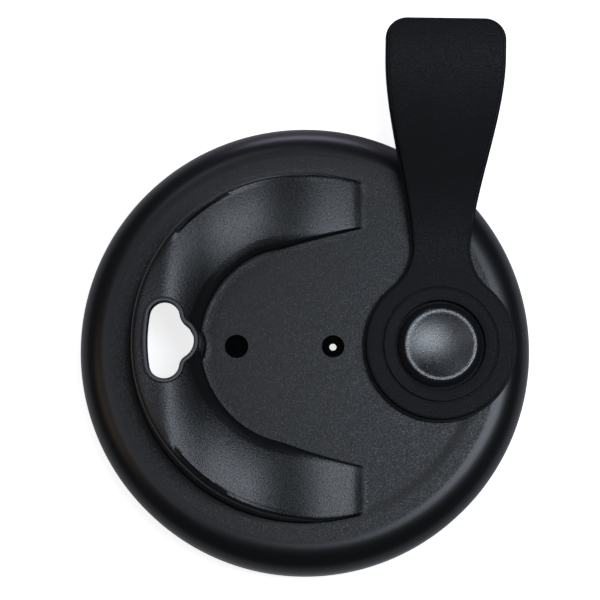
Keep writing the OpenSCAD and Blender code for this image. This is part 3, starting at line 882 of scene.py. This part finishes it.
class CUPLID_OT_stud(bpy.types.Operator):
    """Makes the stud that holds the strap"""
    bl_idname = "cup_lid.stud"
    bl_label = "Make stud"

    def execute(self, context):
        sizes = all_sizes()
        s, strap, shell = sizes["stud"], sizes["strap"], Shell(sizes)
        deck, under = shell.deck_z, shell.deck_under
        seat = shell.s.border_z + 2 * strap.lift_gap + strap.flange_h
        top = deck + s.head_z
        edge_w, edge_h, seat_edge = 0.06, 0.1, 0.12  # rounds at the dish's rim, the flank and the seat
        ball = (s.dish_r ** 2 + s.dish_h ** 2) / (2 * s.dish_h)
        centre = top - s.dish_h + ball
        dish = [(r, centre - math.sqrt(ball ** 2 - r * r)) for r in np.linspace(0, s.dish_r - edge_h, 14)]
        snap = s.spigot_r + s.snap_out
        flank = math.atan2(s.head_r - s.face_r, s.flank_h)
        edge = s.face_r - s.head_round * (1 - math.sin(flank)) / math.cos(flank)
        profile = np.vstack([
            dish,
            [(s.dish_r + edge_w, top)],
            arc((edge, top - s.head_round), s.head_round, 90, math.degrees(flank), 8),
            [(s.head_r - edge_w, top - s.flank_h + edge_h), (s.head_r, top - s.flank_h),
             (s.head_r, seat + seat_edge), (s.head_r - seat_edge, seat), (s.shank_r, seat),
             (s.shank_r, deck), (s.spigot_r, deck), (s.spigot_r, under), (snap, under),
             (snap, under - s.snap_h / 2), (s.spigot_r, under - s.snap_h), (0, under - s.snap_h)],
        ])
        look = context.scene.cup_lid_look
        # The button shines more than plain polypropylene, so its IOR is matched above that one's 1.49.
        # Its grain has no outer end: a radius of 1 m takes in all of it.
        material = polypropylene_moulded(
            look.stud_colour, "Polypropylene, moulded satin", grain_mm=0.3, grain_r=1.0,
            rough_plain=0.19, rough_grain=0.21, gloss=0.3, pit=0.35, ior=1.75)
        stud = turned("Stud", profile, s.steps, s.x, material)
        smooth(stud, 30)
        finish_piece(stud, material, "lid", "stud")
        return {"FINISHED"}


class CUPLID_OT_strap(bpy.types.Operator):
    """Makes the closure strap: ring, arched arm, tip and stopper"""
    bl_idname = "cup_lid.strap"
    bl_label = "Make strap"

    def execute(self, context):
        sizes = all_sizes()
        s, stud, shell = sizes["strap"], sizes["stud"], Shell(sizes)
        seat = shell.s.border_z + s.lift_gap
        s.rise = shell.deck_z + shell.m.height + shell.h.lip_h + s.tip_lift - seat
        strap = mesh_object("Strap", *self.band_mesh(s, stud))
        join(strap, [self.stopper(s, stud, shell, seat)])
        turn = math.radians(s.turn)
        with edited(strap.data) as bm:
            for v in bm.verts:
                x, y, z = v.co
                v.co = (stud.x * MM + x * math.cos(turn) - y * math.sin(turn),
                        x * math.sin(turn) + y * math.cos(turn), z + seat * MM)
        smooth(strap, 40)
        finish_piece(strap, elastomer_moulded(context.scene.cup_lid_look), "strap", "strap")
        return {"FINISHED"}

    def climb(self, s, x):
        """Height of the underside above the ring's, and the thickness there, at a distance x."""
        after_ring, before_tip = 0.9, 2.8
        start, end = s.ring_r + after_ring, s.reach - before_tip
        share = ease((np.asarray(x) - start) / (end - start))
        return s.rise * share, s.ring_h + (s.tip_h - s.ring_h) * share

    def outline(self, s, inset):
        """The strap's outline in plan, drawn in, as a closed loop."""
        waist_r = (s.waist_s ** 2 + (s.waist_w / 2) ** 2 - s.ring_r ** 2) / (2 * s.ring_r - s.waist_w)
        waist = (s.waist_s, s.waist_w / 2 + waist_r)
        ring_a = heading((0, 0), waist)
        xs = np.linspace(s.waist_s, s.reach - s.tip_round, 40)[1:]
        before_waist, shorter = 2.5, 5.7
        flare = (xs - s.waist_s + before_waist) / (s.reach - s.waist_s - shorter)
        half = s.waist_w / 2 + (s.tip_w - s.waist_w) / 2 * ease(flare)
        upper = np.vstack([
            arc((0, 0), s.ring_r - inset, 180, ring_a, 50),
            arc(waist, waist_r + inset, ring_a + 180, 270, 16)[1:],
            np.c_[xs, half - inset],
            arc((s.reach - s.tip_round, s.tip_w / 2 - s.tip_round), s.tip_round - inset, 84, 0, 12),
            [(s.reach - inset, y) for y in np.linspace(s.tip_w / 2 - s.tip_round, 0, 7)[1:]],
        ])
        return np.vstack([upper, upper[-2:0:-1] * [1, -1]])

    def band_mesh(self, s, stud):
        """Points and faces of ring and arm."""
        step, pitch = s.edge_step, 1.3
        # The side from below: inset, height, and 1 where that counts from the top. A round, the
        # lower edge, the step and a softer round.
        edge = [(0.22, 0, 0), (0.06, 0.07, 0), (0, 0.22, 0), (0, s.edge_h - 0.1, 0), (0.1, s.edge_h, 0),
                (step - 0.04, s.edge_h, 0), (step, s.edge_h + 0.06, 0), (step, -0.4, 1),
                (step + 0.09, -0.12, 1), (step + 0.3, -0.02, 1), (step + 0.6, 0, 1)]
        loops = []
        for inset, z, from_top in edge:
            line = self.outline(s, inset)
            low, thick = self.climb(s, line[:, 0])
            loops.append(np.c_[line, low + z + from_top * thick])
        hole_r, lift = stud.shank_r + s.turn_gap, s.ring_h + s.collar_h
        groove, floor = s.collar_r + s.groove_w, s.ring_h - s.groove_h
        # The opening from above: groove, collar, well and bore, each edge a little rounded.
        well = [(groove + 0.06, s.ring_h), (groove, s.ring_h - 0.06), (groove, floor), (s.collar_r, floor),
                (s.collar_r, lift - 0.12), (s.collar_r - 0.12, lift), (s.well_r + 0.3, lift),
                (s.well_r + 0.08, lift - 0.08), (s.well_r, lift - 0.3), (s.well_r, s.flange_h),
                (hole_r + 0.1, s.flange_h), (hole_r, s.flange_h - 0.1), (hole_r, 0.1), (hole_r + 0.1, 0)]
        turn = np.linspace(0, math.tau, 120, endpoint=False)
        rings = [np.c_[r * np.cos(turn), r * np.sin(turn), np.full(len(turn), z)] for r, z in well]
        points = list(np.vstack(loops + rings))
        edge_rows = rows_of(loops)
        ring_rows = rows_of(rings, len(loops[0]) * len(loops))
        faces = bands(edge_rows) + bands(ring_rows)
        for rim, hole, upper in ((edge_rows[-1], ring_rows[0], True), (edge_rows[0], ring_rows[-1], False)):
            flat = np.array([points[i][:2] for i in rim]), np.array([points[i][:2] for i in hole])
            inner, triangles = fill(*flat, pitch)
            low, thick = self.climb(s, inner[:, 0])
            number = list(rim) + list(hole) + list(range(len(points), len(points) + len(inner)))
            points += [(x, y, z) for (x, y), z in zip(inner, low + (thick if upper else 0))]
            faces += [tuple(number[v] for v in t) for t in triangles]
        return points, faces

    def stopper(self, s, stud, shell, seat):
        """The stopper under the tip: the drink hole's outline, cut off parallel to the lip. Its rings
        go from inside the arm to the rounded lower edge."""
        rings = [(0.0, "arm"), (0.0, 0.35), (-0.1, 0.1), (-0.35, 0)]
        loops = []
        for grow, level in rings:
            line = hole_outline(shell.h, grow - s.plug_gap)
            x = stud.x - line[:, 0]
            if level == "arm":
                low, _ = self.climb(s, x)
                z = low + s.edge_h
            else:
                z = np.array([shell.lip_plane(k) for k in line[:, 0]]) + s.swing_gap - seat + level
            loops.append(np.c_[x, line[:, 1], z])
        rows = rows_of(loops)
        return mesh_object("Stopper", np.vstack(loops), bands(rows) + [rows[0], rows[-1][::-1]])


# Name, place, target and size in millimetres, power in watts and colour. The softbox and the panels
# hang over the lid, the windows stand behind it and the warm wall on its left. They are placed so
# that the highlights fall where the object shows them.
LAMPS = (
    ("Main softbox", (140, 15, 430), (140, 15, 0), (220, 130), 1.0, "#E8F2FF"),
    ("Right panel", (320, 40, 430), (320, 40, 0), (100, 200), 0.15, "#E8F2FF"),
    ("Left panel", (-160, -30, 430), (-160, -30, 0), (140, 240), 0.17, "#F2F2FF"),
    ("Low window", (0, 420, 90), (0, 0, 10), (200, 110), 0.52, "#D9D2EE"),
    ("High window", (-126, 305, 520), (0, 0, 10), (200, 150), 0.2, "#E8F2FF"),
    ("Warm wall", (-340, -60, 320), (0, 0, 10), (200, 160), 0.12, "#FFD9B0"),
)


class CUPLID_OT_stage(bpy.types.Operator):
    """Makes the floor, the lights, the world and the camera"""
    bl_idname = "cup_lid.stage"
    bl_label = "Make stage"

    def execute(self, context):
        scene = context.scene
        stage = scene.cup_lid_stage
        shell = Shell(all_sizes())
        half, below = 900, -0.05
        corners = [(x * half, y * half, below) for x, y in ((-1, -1), (1, -1), (1, 1), (-1, 1))]
        floor = mesh_object("Floor", corners, [(0, 1, 2, 3)])
        floor.data.materials.append(pale_floor(scene.cup_lid_look))
        for lamp in LAMPS:
            self.hang(*lamp)
        world = bpy.data.worlds.new("Studio")
        scene.world = world
        world.use_nodes = True
        tree = world.node_tree
        tree.nodes.clear()
        lit, seen = 0.07, 1.0  # what the lid gets from the surroundings, and what the camera sees
        rays = add(tree, "ShaderNodeLightPath")
        strength = add(tree, "ShaderNodeMix", {"Factor": rays.outputs["Is Camera Ray"], "A": lit, "B": seen},
                       data_type="FLOAT")
        back = add(tree, "ShaderNodeBackground", {"Color": (1, 1, 1, 1), "Strength": strength})
        add(tree, "ShaderNodeOutputWorld", {"Surface": back})
        data = bpy.data.cameras.new("Camera")
        data.sensor_width = 36
        data.angle = stage.view
        data.clip_start, data.clip_end = 0.01, 10
        camera = link("Camera", data)
        camera.location = (stage.cam_x, stage.cam_y, stage.cam_h + shell.deck_z * MM)
        camera.rotation_euler = (stage.tilt, 0, 0)
        scene.camera = camera
        scene.view_settings.view_transform = "Standard"
        return {"FINISHED"}

    def hang(self, name, place, target, size, power, hex_colour):
        """A rectangular soft light that faces a target, in millimetres and watts."""
        data = bpy.data.lights.new(name, "AREA")
        data.shape = "RECTANGLE"
        data.size, data.size_y = size[0] * MM, size[1] * MM
        data.energy = power
        data.color = linear(hex_colour)[:3]
        lamp = link(name, data)
        from_to = [(t - p) * MM for t, p in zip(target, place)]
        lamp.location = [p * MM for p in place]
        lamp.rotation_euler = Vector(from_to).to_track_quat("-Z", "Y").to_euler()


class CUPLID_PT_panel(bpy.types.Panel):
    """Lists the pieces of the lid"""
    bl_idname = "CUPLID_PT_panel"
    bl_label = "Cup lid"
    bl_space_type = "VIEW_3D"
    bl_region_type = "UI"
    bl_category = "Cup lid"

    def draw(self, context):
        for operator in STEPS:
            self.layout.operator(operator.bl_idname)
        for key in GROUPS:
            box = self.layout.box()
            group = getattr(context.scene, "cup_lid_" + key)
            for name in group.__annotations__:
                box.prop(group, name)


GROUPS = {"shell": ShellSizes, "mouth": MouthSizes, "hole": HoleSizes, "stud": StudSizes,
          "strap": StrapSizes, "look": LookSettings, "stage": StageSettings}
STEPS = (CUPLID_OT_lid, CUPLID_OT_stud, CUPLID_OT_strap, CUPLID_OT_stage)


def register():
    for c in (*GROUPS.values(), *STEPS, CUPLID_PT_panel):
        bpy.utils.register_class(c)
    for key, group in GROUPS.items():
        setattr(bpy.types.Scene, "cup_lid_" + key, PointerProperty(type=group))


def unregister():
    for key in GROUPS:
        delattr(bpy.types.Scene, "cup_lid_" + key)
    for c in reversed((*GROUPS.values(), *STEPS, CUPLID_PT_panel)):
        bpy.utils.unregister_class(c)


def main():
    register()
    for step in (bpy.ops.cup_lid.lid, bpy.ops.cup_lid.stud, bpy.ops.cup_lid.strap, bpy.ops.cup_lid.stage):
        step()


if __name__ == "__main__":
    main()
